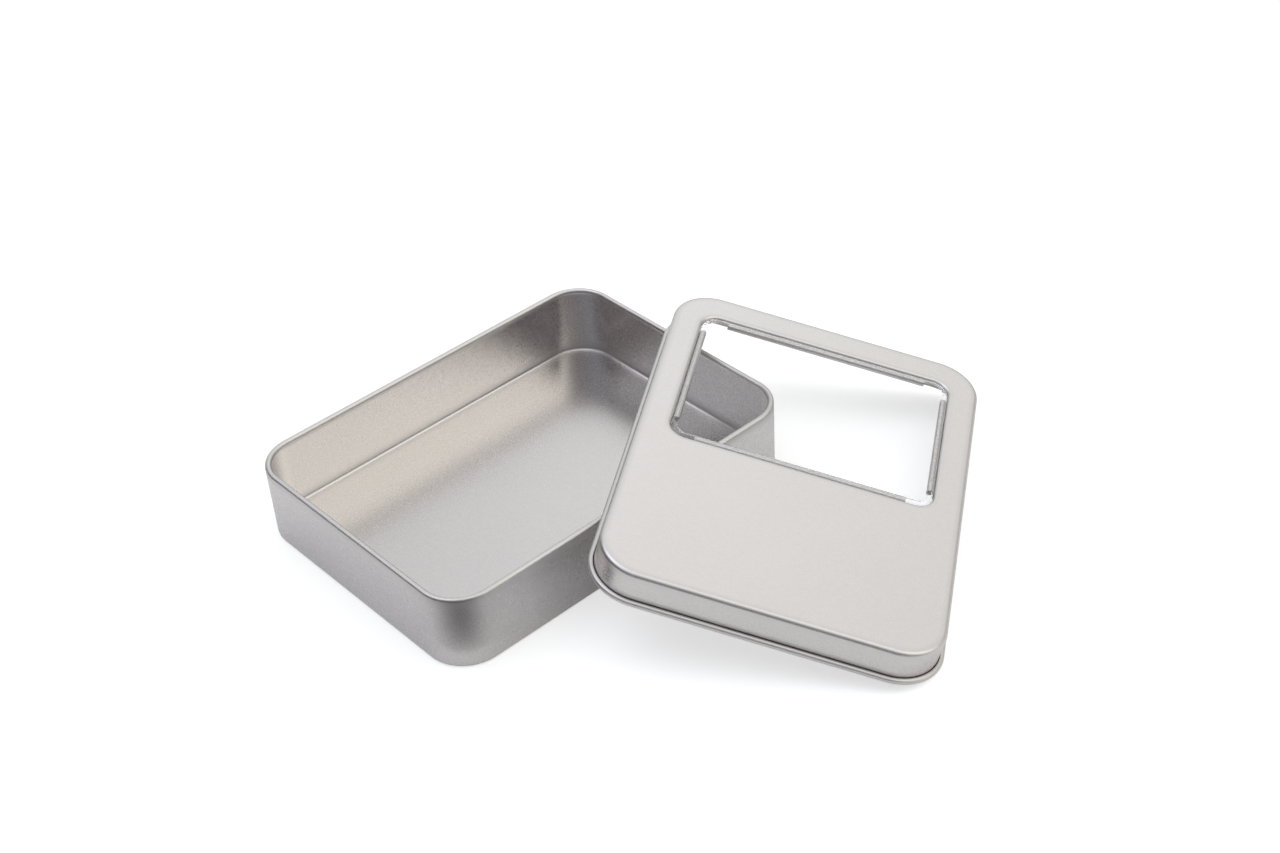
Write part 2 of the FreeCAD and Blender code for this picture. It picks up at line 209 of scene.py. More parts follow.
class Tree:
    """A node tree, to which one method adds any node."""

    def __init__(self, nodes):
        self.nodes = nodes

    def add(self, kind, settings=None, inputs=None, output=0):
        """A new node: its settings first, then its inputs. Returns one of its outputs, if any."""
        node = self.nodes.nodes.new(kind)
        for name, value in (settings or {}).items():
            setattr(node, name, value)
        for key, value in (inputs or {}).items():
            self.fill(node.inputs[key], value)
        if len(node.outputs) == 0:
            return None
        return Value(self, node.outputs[output])

    def fill(self, socket, value):
        """Gives a socket a plain value, a link, or a list of links."""
        if isinstance(value, list):
            for item in value:
                self.nodes.links.new(item.source, socket)
        elif isinstance(value, Value):
            self.nodes.links.new(value.source, socket)
        else:
            socket.default_value = value

    def vector(self, **parts):
        """A vector from its parts X, Y and Z, each 0 where it is not given."""
        return self.add("ShaderNodeCombineXYZ", None, parts)


# ---------------------------------------------------------------- sections

def arc(centre, radius, start, end):
    """Points on part of a circle, from one angle to another in degrees."""
    count = max(2, math.ceil(abs(end - start) / ARC_STEP) + 1)
    points = []
    for number in range(count):
        angle = math.radians(start + (end - start) * number / (count - 1))
        points.append((centre[0] + radius * math.cos(angle),
                       centre[1] + radius * math.sin(angle)))
    return points


def wall(foot, head):
    """Points up or down a straight wall, without its two ends."""
    count = math.ceil(abs(head[1] - foot[1]) / WALL_STEP)
    points = []
    for number in range(1, count):
        share = number / count
        points.append((foot[0] + (head[0] - foot[0]) * share,
                       foot[1] + (head[1] - foot[1]) * share))
    return points


class Section:
    """A drawn section's points, each with its mark."""

    def __init__(self):
        self.points = []
        self.marks = []

    def line(self, points, mark=PLAIN):
        """Further points, which all have the same mark."""
        self.points += points
        self.marks += [mark] * len(points)

    def drawn(self, name, closed=False):
        """The section as an object: x is outwards, and -y is up, as the sweep turns it."""
        mesh = bpy.data.meshes.new(name)
        last = len(self.points) - 1
        links = [(number, number + 1) for number in range(last)]
        if closed:
            links.append((last, 0))
        corners = [(across * MM, -up * MM, 0.0) for across, up in self.points]
        mesh.from_pydata(corners, links, [])
        mark = mesh.attributes.new(MARK, "FLOAT", "POINT")
        mark.data.foreach_set("value", self.marks)
        drawing = bpy.data.objects.new(name, mesh)
        bpy.context.scene.collection.objects.link(drawing)
        return drawing


def tin_section():
    """The tin's wall, from its flat underside round the rim's inward curl to its floor."""
    outer = TIN_EDGE_RADIUS
    inner = TIN_EDGE_RADIUS - SHEET
    level = TIN_HEIGHT - RIM_CURL_RADIUS
    curl = (-RIM_CURL_RADIUS, level)
    edge = (-outer, outer)
    section = Section()
    section.line([(-outer - FLAT_MARGIN, 0.0)])
    section.line(arc(edge, outer, 270.0, 360.0))
    section.line(wall((0.0, outer), (0.0, level)))
    section.line(arc(curl, RIM_CURL_RADIUS, 0.0, RIM_CURL_END), ROLLED)
    section.line(arc(curl, RIM_CURL_RADIUS - SHEET, RIM_CURL_END, 0.0), HIDDEN)
    section.line(wall((-SHEET, level), (-SHEET, outer)))
    section.line(arc(edge, inner, 360.0, 270.0), WORN)
    section.line([(-outer - FLAT_MARGIN, SHEET)])
    return section.drawn("tin_section")


def lid_section():
    """The lid's skirt, from its flat top down round the outward bead and back up inside."""
    outer = LID_EDGE_RADIUS
    inner = LID_EDGE_RADIUS - SHEET
    level = LID_HEIGHT - outer
    edge = (-outer, level)
    bead = (LID_BEAD_RADIUS - SHEET, LID_BEAD_RADIUS)
    section = Section()
    section.line([(-outer - FLAT_MARGIN, LID_HEIGHT)])
    section.line(arc(edge, outer, 90.0, 0.0), WORN)
    section.line(wall((0.0, level), (0.0, bead[1])))
    section.line(arc(bead, LID_BEAD_RADIUS - SHEET, 180.0, LID_BEAD_END), HIDDEN)
    section.line(arc(bead, LID_BEAD_RADIUS, LID_BEAD_END, 180.0), ROLLED)
    section.line(wall((-SHEET, bead[1]), (-SHEET, level)))
    section.line(arc(edge, inner, 0.0, 90.0))
    section.line([(-outer - FLAT_MARGIN, LID_HEIGHT - SHEET)])
    return section.drawn("lid_section")


def fold_section():
    """The lip round the window: the flat top bends down, and its back comes up again."""
    centre = (0.0, LID_HEIGHT - FOLD_RADIUS)
    inner = FOLD_RADIUS - SHEET
    section = Section()
    section.line([(FLAT_MARGIN, LID_HEIGHT)])
    section.line(arc(centre, FOLD_RADIUS, 90.0, 180.0), WORN)
    section.line([(-FOLD_RADIUS, CURL_LEVEL), (-inner, CURL_LEVEL)])
    section.line(arc(centre, inner, 180.0, 90.0))
    section.line([(FLAT_MARGIN, LID_HEIGHT - SHEET)])
    return section.drawn("fold_section")


def curl_section():
    """The sheet past the lip's foot: a tight crease, then a roll that stands beside it."""
    crease = (-CREASE_INSET, CURL_LEVEL)
    roll = (-CURL_INSET, CURL_LEVEL)
    section = Section()
    section.line(arc(crease, CREASE_RADIUS, 360.0, 180.0))
    section.line(arc(roll, CURL_RADIUS, 0.0, CURL_END), WORN)
    section.line(arc(roll, CURL_RADIUS - SHEET, CURL_END, 0.0), HIDDEN)
    section.line(arc(crease, CREASE_RADIUS + SHEET, 180.0, 360.0))
    return section.drawn("curl_section", closed=True)


def film_section():
    """The clear film: it caps the roll, then dips to the flat pane in an arc that meets both."""
    roll = (-CURL_INSET, CURL_LEVEL)
    inner = CURL_RADIUS + FILM_PLAY
    outer = inner + FILM
    top = FILM_LEVEL + FILM
    dip_level = top + FILM_FILLET
    rise = dip_level - CURL_LEVEL
    reach = math.sqrt((outer + FILM_FILLET) ** 2 - rise ** 2)
    meeting = 180.0 - math.degrees(math.asin(rise / (outer + FILM_FILLET)))
    dip = (roll[0] - reach, dip_level)
    flat = dip[0] - FLAT_MARGIN / 2
    section = Section()
    section.line([(flat, top)])
    section.line(arc(dip, FILM_FILLET, 270.0, meeting + 180.0))
    section.line(arc(roll, outer, meeting, FILM_EDGE_ANGLE), ROLLED)
    section.line(arc(roll, inner, FILM_EDGE_ANGLE, meeting), ROLLED)
    section.line(arc(dip, FILM_FILLET + FILM, meeting + 180.0, 270.0))
    section.line([(flat, FILM_LEVEL)])
    return section.drawn("film_section")


# ---------------------------------------------------------------- pressed shapes

class ShapeTree(Tree):
    """A geometry tree with named inputs, which makes one piece from its drawn sections."""

    def __init__(self, name):
        super().__init__(bpy.data.node_groups.new(name, "GeometryNodeTree"))
        self.keys = {}
        self.group_in = self.nodes.nodes.new("NodeGroupInput")
        self.group_out = self.nodes.nodes.new("NodeGroupOutput")
        self.nodes.interface.new_socket("Shape", in_out="OUTPUT",
                                        socket_type="NodeSocketGeometry")
        self.wanted("Section", "NodeSocketGeometry")

    def wanted(self, name, kind="NodeSocketFloat"):
        """A named input of the tree."""
        item = self.nodes.interface.new_socket(name, in_out="INPUT", socket_type=kind)
        self.keys[name] = item.identifier
        return Value(self, self.group_in.outputs[name])

    def section_of(self, drawn):
        """The drawn section as a curve."""
        return self.add("GeometryNodeMeshToCurve", None, {"Mesh": drawn})

    def drawn_on(self, name):
        """A further drawn section, from an object named by an input."""
        drawing = self.wanted(name, "NodeSocketObject")
        return self.add("GeometryNodeObjectInfo", None, {"Object": drawing}, "Geometry")

    def outline(self, length, width, corner, middle, step=OUTLINE_STEP):
        """A rounded rectangle about (middle, 0)."""
        curve = self.add("GeometryNodeCurvePrimitiveQuadrilateral", None,
                         {"Width": length, "Height": width})
        curve = self.add("GeometryNodeFilletCurve", {"mode": "POLY"},
                         {"Curve": curve, "Radius": corner, "Count": CORNER_STEPS})
        curve = self.add("GeometryNodeResampleCurve", {"mode": "LENGTH"},
                         {"Curve": curve, "Length": step * MM})
        return self.add("GeometryNodeSetPosition", None,
                        {"Geometry": curve, "Offset": self.vector(X=middle)})

    def coordinate(self, axis):
        """Each point's X, Y or Z."""
        place = self.add("GeometryNodeInputPosition")
        return self.add("ShaderNodeSeparateXYZ", None, {"Vector": place}, axis)

    def sweep(self, path, section, caps=False):
        """The section carried along the path, standing upright."""
        upright = self.add("GeometryNodeSetCurveNormal", {"mode": "Z_UP"}, {"Curve": path})
        return self.add("GeometryNodeCurveToMesh", None,
                        {"Curve": upright, "Profile Curve": section, "Fill Caps": caps})

    def plate(self, shells, level):
        """A flat sheet across the open edges that lie at the given level."""
        joined = self.add("GeometryNodeJoinGeometry", None, {"Geometry": shells})
        face_count = self.add("GeometryNodeInputMeshEdgeNeighbors")
        is_open = face_count.less_than(2.0)
        is_level = (self.coordinate("Z") - level).size().less_than(MERGE_DISTANCE * MM)
        edge = self.add("GeometryNodeMeshToCurve", None,
                        {"Mesh": joined, "Selection": is_open * is_level})
        flat = self.add("GeometryNodeFillCurve", {"mode": "TRIANGLES"}, {"Curve": edge})
        return self.add("GeometryNodeSetPosition", None,
                        {"Geometry": flat, "Offset": self.vector(Z=level)})

    def join(self, pieces):
        """The pieces as one shape, without doubled points."""
        joined = self.add("GeometryNodeJoinGeometry", None, {"Geometry": pieces})
        return self.add("GeometryNodeMergeByDistance", None,
                        {"Geometry": joined, "Distance": MERGE_DISTANCE * MM})

    def finish(self, shape, material):
        """Ends the tree: the shape's faces, shaded smooth and in one material."""
        real = self.add("GeometryNodeRealizeInstances", None, {"Geometry": shape})
        smooth = self.add("GeometryNodeSetShadeSmooth", {"domain": "FACE"},
                          {"Geometry": real, "Shade Smooth": True})
        coated = self.add("GeometryNodeSetMaterial", None,
                          {"Geometry": smooth, "Material": material})
        self.fill(self.group_out.inputs["Shape"], coated)


def made_mesh(name, tree, drawing, values):
    """Runs the tree on a drawn section and returns the plain mesh that it makes."""
    modifier = drawing.modifiers.new("press", "NODES")
    modifier.node_group = tree.nodes
    for key, value in values.items():
        modifier[tree.keys[key]] = value
    bpy.context.view_layer.update()
    graph = bpy.context.evaluated_depsgraph_get()
    mesh = bpy.data.meshes.new_from_object(drawing.evaluated_get(graph))
    mesh.name = name
    drawing.modifiers.remove(modifier)
    outside_out(mesh)
    return mesh


def outside_out(mesh):
    """Turns every face outwards, and marks the edges that are sharp."""
    shape = bmesh.new()
    shape.from_mesh(mesh)
    bmesh.ops.recalc_face_normals(shape, faces=shape.faces)
    for edge in shape.edges:
        edge.smooth = edge.calc_face_angle(0.0) < SHARP_ANGLE
    shape.to_mesh(mesh)
    shape.free()


def tin_tree(material):
    """The tray: one swept wall, and a plate for its floor and one for its underside."""
    tree = ShapeTree("pressed_tray")
    section = Value(tree, tree.group_in.outputs["Section"])
    length = tree.wanted("Length")
    width = tree.wanted("Width")
    corner = tree.wanted("Corner Radius")
    sheet = tree.wanted("Sheet")
    path = tree.outline(length, width, corner, 0.0)
    shell = tree.sweep(path, tree.section_of(section))
    floor = tree.plate([shell], sheet)
    underside = tree.plate([shell], 0.0)
    tree.finish(tree.join([shell, floor, underside]), material)
    return tree


def lid_tree(material):
    """The lid: its skirt, the fold round the window, the flat top, and four rolls."""
    tree = ShapeTree("pressed_lid")
    section = Value(tree, tree.group_in.outputs["Section"])
    fold = tree.drawn_on("Fold")
    curl = tree.drawn_on("Curl")
    length = tree.wanted("Length")
    width = tree.wanted("Width")
    corner = tree.wanted("Corner Radius")
    window_length = tree.wanted("Window Length")
    window_width = tree.wanted("Window Width")
    window_corner = tree.wanted("Window Corner Radius")
    window_middle = tree.wanted("Window Middle")
    height = tree.wanted("Height")
    sheet = tree.wanted("Sheet")
    curl_shortfall = tree.wanted("Curl Shortfall")
    skirt = tree.sweep(tree.outline(length, width, corner, 0.0), tree.section_of(section))
    path = tree.outline(window_length, window_width, window_corner, window_middle)
    lip = tree.sweep(path, tree.section_of(fold))
    top = tree.plate([skirt, lip], height)
    inside = tree.plate([skirt, lip], height - sheet)
    rolls = window_rolls(tree, tree.section_of(curl), window_length, window_width,
                         window_middle, curl_shortfall)
    tree.finish(tree.join([skirt, lip, top, inside] + rolls), material)
    return tree


def window_rolls(tree, section, length, width, middle, shortfall):
    """Four straight rolls, one along each side of the window."""
    rolls = []
    sides = ((length, width, 0.0), (width, length, 90.0),
             (length, width, 180.0), (width, length, 270.0))
    for along, across, turn in sides:
        run = (along - shortfall) / 2
        side = 0.0 - across / 2
        path = tree.add("GeometryNodeCurvePrimitiveLine", None,
                        {"Start": tree.vector(X=0.0 - run, Y=side),
                         "End": tree.vector(X=run, Y=side)})
        roll = tree.sweep(path, section, caps=True)
        rolls.append(tree.add(
            "GeometryNodeTransform", None,
            {"Geometry": roll, "Translation": tree.vector(X=middle),
             "Rotation": Euler((0.0, 0.0, math.radians(turn)))}))
    return rolls


def crinkled(tree, shape, run, across, middle):
    """The shape with small crumples at its four corners, past run and across from its middle."""
    at_end = (tree.coordinate("X") - middle).size() - run
    at_side = tree.coordinate("Y").size() - across
    band = CRINKLE_BAND * MM
    share = at_end.within(0.0, band) * at_side.within(0.0, band)
    place = tree.add("GeometryNodeInputPosition")
    rumple = tree.add("ShaderNodeTexNoise", {"noise_dimensions": "3D"},
                      {"Vector": place, "Scale": CRINKLE_SCALE, "Detail": CRINKLE_DETAIL},
                      "Color")
    centred = tree.add("ShaderNodeVectorMath", {"operation": "SUBTRACT"},
                       {0: rumple, 1: NOISE_MIDDLE})
    push = tree.add("ShaderNodeVectorMath", {"operation": "SCALE"},
                    {0: centred, "Scale": share * (CRINKLE_DEPTH * MM)})
    return tree.add("GeometryNodeSetPosition", None, {"Geometry": shape, "Offset": push})


def film_tree(material):
    """The clear pane: a cap that runs round over the rolls, and the flat sheet inside it."""
    tree = ShapeTree("formed_film")
    section = Value(tree, tree.group_in.outputs["Section"])
    length = tree.wanted("Length")
    width = tree.wanted("Width")
    corner = tree.wanted("Corner Radius")
    middle = tree.wanted("Middle")
    level = tree.wanted("Level")
    film = tree.wanted("Film")
    path = tree.outline(length, width, corner, middle, FILM_STEP)
    cap = tree.sweep(path, tree.section_of(section))
    under = tree.plate([cap], level)
    over = tree.plate([cap], level + film)
    whole = tree.join([cap, under, over])
    run = length / 2 - FILM_BEND * MM
    across = width / 2 - FILM_BEND * MM
    tree.finish(crinkled(tree, whole, run, across, middle), material)
    return tree


# ---------------------------------------------------------------- materials

# The stone finish: three sizes of noise, in cells to the metre, with their numbers of finer
# layers and how strong those are, and how much each size shows.
GRAIN_SCALE = 2000.0
MOTTLE_SCALE = 620.0
CLOUD_SCALE = 45.0
GRAIN_DETAIL = 2.0
MOTTLE_DETAIL = 3.0
CLOUD_DETAIL = 2.0
DETAIL_STRENGTH = 0.55
GRAIN_SHARE = 0.3
MOTTLE_SHARE = 0.5
CLOUD_SHARE = 0.2
STONE_CONTRAST = (0.32, 0.68)
STONE_DARK = (0.728, 0.69, 0.682, 1.0)
STONE_PALE = (0.762, 0.724, 0.715, 1.0)

# Relief in metres, and roughness.
GRAIN_HEIGHT = 0.0000014
MOTTLE_HEIGHT = 0.000004
CLOUD_HEIGHT = 0.00002
METAL_ROUGHNESS = 0.235
MOTTLE_ROUGHNESS = 0.05
GRAIN_ROUGHNESS = 0.02

# What rolling the sheet does to it outside, and the painted shade that darkens the hidden inside
# of a roll.
ROLLED_TINT = (0.5, 0.48, 0.475, 1.0)
ROLLED_SHARE = 0.06
ROLLED_ROUGHNESS = 0.18
ROLL_SHADE_TINT = (0.06, 0.055, 0.055, 1.0)
ROLL_SHADE_SHARE = 0.3

# The film where it is flat: it mirrors little from the front, and more edge on.
FILM_TINT = (0.985, 0.985, 0.985, 1.0)
FILM_MIRROR = 0.04
EDGE_ON_POWER = 5.0
FILM_ROUGHNESS = 0.05

# The film where it is bent: clear, with patches of haze.
BENT_ROUGHNESS = 0.03
BENT_REFRACTION = 1.5
HAZE_TINT = (0.8, 0.8, 0.8, 1.0)
HAZE_SCALE = 900.0
HAZE_DETAIL = 2.0
HAZE_CONTRAST = (0.35, 0.75)
HAZE_LEAST = 0.01
HAZE_MOST = 0.08


def new_material(name):
    """An empty material and its node tree."""
    material = bpy.data.materials.new(name)
    material.use_nodes = True
    material.node_tree.nodes.clear()
    return material, Tree(material.node_tree)


def noise(tree, place, scale, detail, strength=0.5):
    """Noise from 0 to 1, with detail as its number of finer layers, and how strong those are."""
    return tree.add("ShaderNodeTexNoise", {"noise_dimensions": "3D"},
                    {"Vector": place, "Scale": scale, "Detail": detail,
                     "Roughness": strength})


def mixed_colour(tree, share, low, high):
    """The colour low where the share is 0, and high where it is 1."""
    return tree.add("ShaderNodeMix", {"data_type": "RGBA"},
                    {"Factor": share, "A": low, "B": high}, "Result")


def mark_of(tree):
    """The section's mark, as the mesh carries it."""
    return tree.add("ShaderNodeAttribute", {"attribute_name": MARK}, None, "Fac")


def tinplate():
    """Matte silver tinplate with a fine stone finish, duller where it is rolled, and with painted
    shade inside its rolls.
    """
    material, tree = new_material("stone_finish_tinplate")
    place = tree.add("ShaderNodeTexCoord", None, None, "Object")
    mark = mark_of(tree)
    rolled = mark.within(PLAIN, ROLLED)
    roll_shade = mark.within(ROLLED, HIDDEN)
    grain = noise(tree, place, GRAIN_SCALE, GRAIN_DETAIL, DETAIL_STRENGTH)
    mottle = noise(tree, place, MOTTLE_SCALE, MOTTLE_DETAIL, DETAIL_STRENGTH)
    cloud = noise(tree, place, CLOUD_SCALE, CLOUD_DETAIL)
    stone = grain * GRAIN_SHARE + mottle * MOTTLE_SHARE + cloud * CLOUD_SHARE
    colour = mixed_colour(tree, stone.within(*STONE_CONTRAST), STONE_DARK, STONE_PALE)
    colour = mixed_colour(tree, rolled * ROLLED_SHARE, colour, ROLLED_TINT)
    # Painted shade: the hidden inside of each roll and bead is darkened.
    colour = mixed_colour(tree, roll_shade * ROLL_SHADE_SHARE, colour, ROLL_SHADE_TINT)
    roughness = (METAL_ROUGHNESS + mottle * MOTTLE_ROUGHNESS + grain * GRAIN_ROUGHNESS
                 + rolled * ROLLED_ROUGHNESS)
    height = grain * GRAIN_HEIGHT + mottle * MOTTLE_HEIGHT + cloud * CLOUD_HEIGHT
    relief = tree.add("ShaderNodeBump", None,
                      {"Strength": 1.0, "Distance": 1.0, "Height": height})
    surface = tree.add("ShaderNodeBsdfPrincipled", None,
                       {"Base Color": colour, "Metallic": 1.0, "Roughness": roughness,
                        "Normal": relief})
    tree.add("ShaderNodeOutputMaterial", None, {"Surface": surface})
    return material


def clear_film():
    """Clear glossy film: flat it is seen straight through, and where it is bent it refracts."""
    material, tree = new_material("clear_film")
    place = tree.add("ShaderNodeTexCoord", None, None, "Object")
    edge_on = tree.add("ShaderNodeLayerWeight", None, {"Blend": 0.5}, "Facing")
    mirrored = FILM_MIRROR + (1.0 - FILM_MIRROR) * edge_on.power(EDGE_ON_POWER)
    clear = tree.add("ShaderNodeBsdfTransparent", None, {"Color": FILM_TINT})
    gloss = tree.add("ShaderNodeBsdfGlossy", None, {"Roughness": FILM_ROUGHNESS})
    flat = tree.add("ShaderNodeMixShader", None, {0: mirrored, 1: clear, 2: gloss})
    glass = tree.add("ShaderNodeBsdfGlass", None,
                     {"Roughness": BENT_ROUGHNESS, "IOR": BENT_REFRACTION})
    haze = tree.add("ShaderNodeBsdfDiffuse", None, {"Color": HAZE_TINT})
    stress = noise(tree, place, HAZE_SCALE, HAZE_DETAIL).within(*HAZE_CONTRAST)
    hazy = HAZE_LEAST + stress * (HAZE_MOST - HAZE_LEAST)
    bent = tree.add("ShaderNodeMixShader", None, {0: hazy, 1: glass, 2: haze})
    surface = tree.add("ShaderNodeMixShader", None, {0: mark_of(tree), 1: flat, 2: bent})
    tree.add("ShaderNodeOutputMaterial", None, {"Surface": surface})
    return material


# ---------------------------------------------------------------- pieces

def add_piece(name, mesh, node):
    """A finished piece, which stands for one CAD node."""
    piece = bpy.data.objects.new(name, mesh)
    bpy.context.scene.collection.objects.link(piece)
    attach(piece, "root")
    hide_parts(node)
    return piece


def box_of(mesh):
    """The mesh's lowest and highest corners."""
    low = Vector(min(vertex.co[axis] for vertex in mesh.vertices) for axis in range(3))
    high = Vector(max(vertex.co[axis] for vertex in mesh.vertices) for axis in range(3))
    return low, high


def lean_of(lid_mesh):
    """How the lid lies: turned and tilted, with its box where the CAD's lid has it."""
    turned = Euler((LEAN_TILT, 0.0, LEAN_YAW)).to_matrix().to_4x4()
    leaning = lid_mesh.copy()
    leaning.transform(turned)
    low, high = box_of(leaning)
    bpy.data.meshes.remove(leaning)
    cad_lid_low, cad_lid_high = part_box("lid")
    shift = (cad_lid_low + cad_lid_high - low - high) / 2
    return Matrix.Translation(shift) @ turned


def tin_mesh_of(metal):
    """The tin, where it stands."""
    drawing = tin_section()
    mesh = made_mesh("tin", tin_tree(metal), drawing, {
        "Length": TIN_LENGTH * MM, "Width": TIN_WIDTH * MM,
        "Corner Radius": CORNER_RADIUS * MM, "Sheet": SHEET * MM})
    remove_drawings([drawing])
    return mesh


def lid_mesh_of(metal):
    """The lid, lying flat with its skirt down."""
    drawing = lid_section()
    fold_drawing = fold_section()
    curl_drawing = curl_section()
    mesh = made_mesh("lid_shell", lid_tree(metal), drawing, {
        "Fold": fold_drawing, "Curl": curl_drawing,
        "Length": LID_LENGTH * MM, "Width": LID_WIDTH * MM,
        "Corner Radius": LID_CORNER_RADIUS * MM,
        "Window Length": WINDOW_LENGTH * MM, "Window Width": WINDOW_WIDTH * MM,
        "Window Corner Radius": WINDOW_CORNER_RADIUS * MM,
        "Window Middle": WINDOW_MIDDLE * MM,
        "Height": LID_HEIGHT * MM, "Sheet": SHEET * MM,
        "Curl Shortfall": CURL_SHORTFALL * MM})
    remove_drawings([drawing, fold_drawing, curl_drawing])
    return mesh


def film_mesh_of(film):
    """The clear pane, as it lies in the flat lid."""
    drawing = film_section()
    mesh = made_mesh("clear_pane", film_tree(film), drawing, {
        "Length": WINDOW_LENGTH * MM, "Width": WINDOW_WIDTH * MM,
        "Corner Radius": WINDOW_CORNER_RADIUS * MM,
        "Middle": WINDOW_MIDDLE * MM,
        "Level": FILM_LEVEL * MM, "Film": FILM * MM})
    remove_drawings([drawing])
    return mesh


def remove_drawings(drawings):
    for drawing in drawings:
        bpy.data.objects.remove(drawing)


def make_pieces():
    """The three pieces, with the lid and its pane leaning as the CAD's do."""
    metal = tinplate()
    film = clear_film()
    tin_mesh = tin_mesh_of(metal)
    lid_mesh = lid_mesh_of(metal)
    film_mesh = film_mesh_of(film)
    lean = lean_of(lid_mesh)
    lid_mesh.transform(lean)
    film_mesh.transform(lean)
    add_piece("tin", tin_mesh, "tin_base")
    add_piece("lid_shell", lid_mesh, "lid")
    add_piece("clear_pane", film_mesh, "window_pane")


# ---------------------------------------------------------------- surroundings

# The point that the camera is aimed at and how far off it stands, in metres, and its lens and
# sensor in millimetres.
CAMERA_AIM = Vector((0.0320, -0.0101, 0.010))
CAMERA_DISTANCE = 0.5419
CAMERA_AZIMUTH = math.radians(-40.32)
CAMERA_ELEVATION = math.radians(37.65)
CAMERA_ROLL = math.radians(-3.94)
CAMERA_LENS = 56.43
CAMERA_SENSOR = 36.0
CAMERA_NEAREST = 0.01

# The floor is matte to the light. What is seen of it is paler, by a glow that lights nothing
# but a small share of the metal's reflections.
FLOOR_SIZE = 6.0
FLOOR_MATTE = (0.9, 0.9, 0.9, 1.0)
FLOOR_SEEN = (0.72, 0.72, 0.72, 1.0)
FLOOR_GLOW = 0.6
FLOOR_MIRRORED = 0.12


def make_camera():
    """The camera, aimed at one point from its azimuth, elevation and distance."""
    data = bpy.data.cameras.new("camera")
    data.lens = CAMERA_LENS
    data.sensor_width = CAMERA_SENSOR
    data.clip_start = CAMERA_NEAREST
    camera = bpy.data.objects.new("camera", data)
    bpy.context.scene.collection.objects.link(camera)
    bpy.context.scene.camera = camera
    flat = math.cos(CAMERA_ELEVATION)
    back = Vector((math.sin(CAMERA_AZIMUTH) * flat, -math.cos(CAMERA_AZIMUTH) * flat,
                   math.sin(CAMERA_ELEVATION)))
    facing = (-back).to_track_quat("-Z", "Y").to_matrix().to_4x4()
    place = Matrix.Translation(CAMERA_AIM + back * CAMERA_DISTANCE)
    camera.matrix_world = place @ facing @ Matrix.Rotation(CAMERA_ROLL, 4, "Z")


def make_floor():
    """A plain pale floor, on the level of the object's foot."""
    mesh = bpy.data.meshes.new("floor")
    half = FLOOR_SIZE / 2
    level = cad_low.z
    mesh.from_pydata([(-half, -half, level), (half, -half, level),
                      (half, half, level), (-half, half, level)], [], [(0, 1, 2, 3)])
    mesh.materials.append(pale_floor())
    floor = bpy.data.objects.new("floor", mesh)
    bpy.context.scene.collection.objects.link(floor)


def pale_floor():
    """The camera sees the floor as white, with the object's shadow on it."""
    material, tree = new_material("pale_floor")
    camera = tree.add("ShaderNodeLightPath", None, None, "Is Camera Ray")
    mirrored = tree.add("ShaderNodeLightPath", None, None, "Is Glossy Ray")
    through = tree.add("ShaderNodeLightPath", None, None, "Is Transmission Ray")
    matte = tree.add("ShaderNodeBsdfDiffuse", None, {"Color": FLOOR_MATTE})
    pale = tree.add("ShaderNodeBsdfDiffuse", None, {"Color": FLOOR_SEEN})
    glow = tree.add("ShaderNodeEmission", None, {"Strength": FLOOR_GLOW})
    seen = tree.add("ShaderNodeAddShader", None, {0: pale, 1: glow})
    share = camera + through + mirrored * FLOOR_MIRRORED
    surface = tree.add("ShaderNodeMixShader", None, {0: share, 1: matte, 2: seen})
    tree.add("ShaderNodeOutputMaterial", None, {"Surface": surface})
    return material


# The dark card, a painted dark reflection, stands round the tin's near corner, at a distance, to
# a height and in rows that are in millimetres. How far it reaches round, in what turns, is in
# degrees.
CARD_DISTANCE = 6.0
CARD_HEIGHT = 50
CARD_ROW = 2
CARD_REACH = 80
CARD_TURN = 4

# It is darkest in its middle. The spread is in degrees, and the fade towards its foot in
# millimetres.
CARD_DARKNESS = 0.74
CARD_SPREAD = 46.0
CARD_FADE = (-12.0, 11.0)
CARD_TINT = (0.01, 0.01, 0.01, 1.0)
DARKNESS = "darkness"


def card_darkness(turn, height):
    """How dark the card is: most in the middle, less to the sides and towards its foot."""
    low, high = CARD_FADE
    share = min(1.0, (height - low) / (high - low))
    return CARD_DARKNESS * math.exp(-(turn / CARD_SPREAD) ** 2) * share * share * (3 - 2 * share)


def card_mesh():
    """The card's curved grid, with its darkness at each point."""
    middle = Vector((CORNER_RADIUS - TIN_LENGTH / 2, CORNER_RADIUS - TIN_WIDTH / 2, 0.0))
    radius = CORNER_RADIUS + CARD_DISTANCE
    turns = range(-CARD_REACH, CARD_REACH + CARD_TURN, CARD_TURN)
    heights = range(0, CARD_HEIGHT + CARD_ROW, CARD_ROW)
    points = []
    darkness = []
    for turn in turns:
        angle = CAMERA_AZIMUTH - math.pi / 2 + math.radians(turn)
        for height in heights:
            out = Vector((radius * math.cos(angle), radius * math.sin(angle), height))
            points.append((middle + out) * MM)
            darkness.append(card_darkness(turn, height))
    rows = len(heights)
    faces = []
    for column in range(len(turns) - 1):
        for row in range(rows - 1):
            first = column * rows + row
            faces.append((first, first + rows, first + rows + 1, first + 1))
    mesh = bpy.data.meshes.new("dark_card")
    mesh.from_pydata(points, [], faces)
    mesh.attributes.new(DARKNESS, "FLOAT", "POINT").data.foreach_set("value", darkness)
    return mesh


def soft_dark():
    """Dark where the mesh's darkness says so, and open air elsewhere."""
    material, tree = new_material("dark_card")
    share = tree.add("ShaderNodeAttribute", {"attribute_name": DARKNESS}, None, "Fac")
    open_air = tree.add("ShaderNodeBsdfTransparent")
    dark = tree.add("ShaderNodeBsdfDiffuse", None, {"Color": CARD_TINT})
    surface = tree.add("ShaderNodeMixShader", None, {0: share, 1: open_air, 2: dark})
    tree.add("ShaderNodeOutputMaterial", None, {"Surface": surface})
    return material


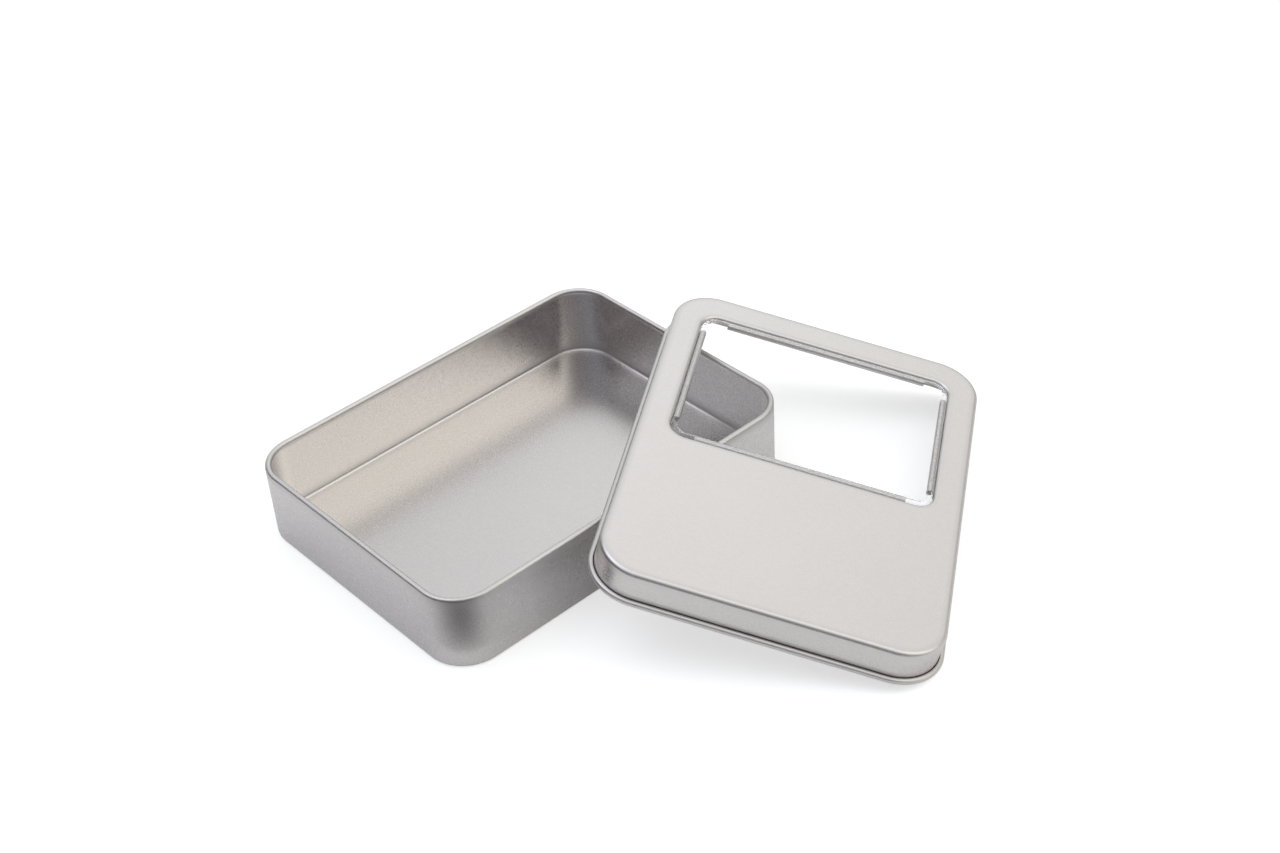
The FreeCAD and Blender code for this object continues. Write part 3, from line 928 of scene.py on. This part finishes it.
def make_card():
    """A soft-edged dark card round the tin's near corner, which only shows in reflections, where
    it paints a dark reflection on the corner.
    """
    mesh = card_mesh()
    mesh.materials.append(soft_dark())
    card = bpy.data.objects.new("dark_card", mesh)
    bpy.context.scene.collection.objects.link(card)
    card.visible_camera = False
    card.visible_diffuse = False
    card.visible_transmission = False
    card.visible_shadow = False


# Each soft light: its direction, as degrees from +X towards +Y and degrees up, then how sharp
# it is, how strong, and its colour. Right, left and behind are as the camera sees the object.
SOFT_LIGHTS = (
    # On the right, one above the other.
    (-60.0, 60.0, 20.0, 0.3, (1.0, 1.0, 1.0, 1.0)),
    (-52.0, 42.0, 8.0, 1.3, (1.0, 1.04, 0.95, 1.0)),
    (-50.0, 12.0, 14.0, 0.35, (1.0, 1.0, 1.0, 1.0)),
    # Beside the camera.
    (-125.0, 30.0, 5.0, 0.15, (1.0, 1.0, 1.0, 1.0)),
    # Behind on the right.
    (-5.0, 8.0, 12.0, 0.3, (1.06, 0.98, 0.94, 1.0)),
    (15.0, 36.0, 16.0, 0.28, (1.03, 1.0, 0.95, 1.0)),
    # Behind the object, which the lid's top and the tin's floor mirror.
    (34.0, 31.0, 10.0, 0.72, (0.95, 1.02, 1.02, 1.0)),
    (50.0, 50.0, 10.0, 0.24, (1.03, 0.94, 1.03, 1.0)),
    (70.0, 12.0, 12.0, 0.78, (0.94, 1.06, 1.0, 1.0)),
    # Straight above.
    (0.0, 88.0, 8.0, 0.75, (1.02, 0.99, 1.0, 1.0)),
    # High on the left.
    (120.0, 60.0, 20.0, 1.8, (0.95, 1.0, 1.05, 1.0)),
    (180.0, 62.0, 12.0, 0.66, (0.88, 0.98, 1.18, 1.0)),
)


def make_world():
    """Large soft lights that fade into a dark studio; the camera sees plain white instead."""
    world = bpy.data.worlds.new("studio")
    world.use_nodes = True
    world.node_tree.nodes.clear()
    bpy.context.scene.world = world
    tree = Tree(world.node_tree)
    direction = tree.add("ShaderNodeTexCoord", None, None, "Generated")
    lights = tree.add("ShaderNodeBackground", None, {"Strength": 0.0})
    for azimuth, elevation, sharpness, strength, colour in SOFT_LIGHTS:
        turn = math.radians(azimuth)
        rise = math.radians(elevation)
        middle = Vector((math.cos(turn) * math.cos(rise), math.sin(turn) * math.cos(rise),
                         math.sin(rise)))
        nearness = tree.add("ShaderNodeVectorMath", {"operation": "DOT_PRODUCT"},
                            {0: direction, 1: middle}, "Value")
        level = ((nearness - 1.0) * sharpness).exponential()
        light = tree.add("ShaderNodeBackground", None,
                         {"Color": colour, "Strength": level * strength})
        lights = tree.add("ShaderNodeAddShader", None, {0: lights, 1: light})
    camera = tree.add("ShaderNodeLightPath", None, None, "Is Camera Ray")
    white = tree.add("ShaderNodeBackground", None, {"Color": (1.0, 1.0, 1.0, 1.0)})
    surface = tree.add("ShaderNodeMixShader", None, {0: camera, 1: lights, 2: white})
    tree.add("ShaderNodeOutputWorld", None, {"Surface": surface})


def set_view():
    """Colours are shown plainly, without a camera's tone curve."""
    settings = bpy.context.scene.view_settings
    settings.view_transform = "Standard"


make_camera()
make_pieces()
make_floor()
make_card()
make_world()
set_view()
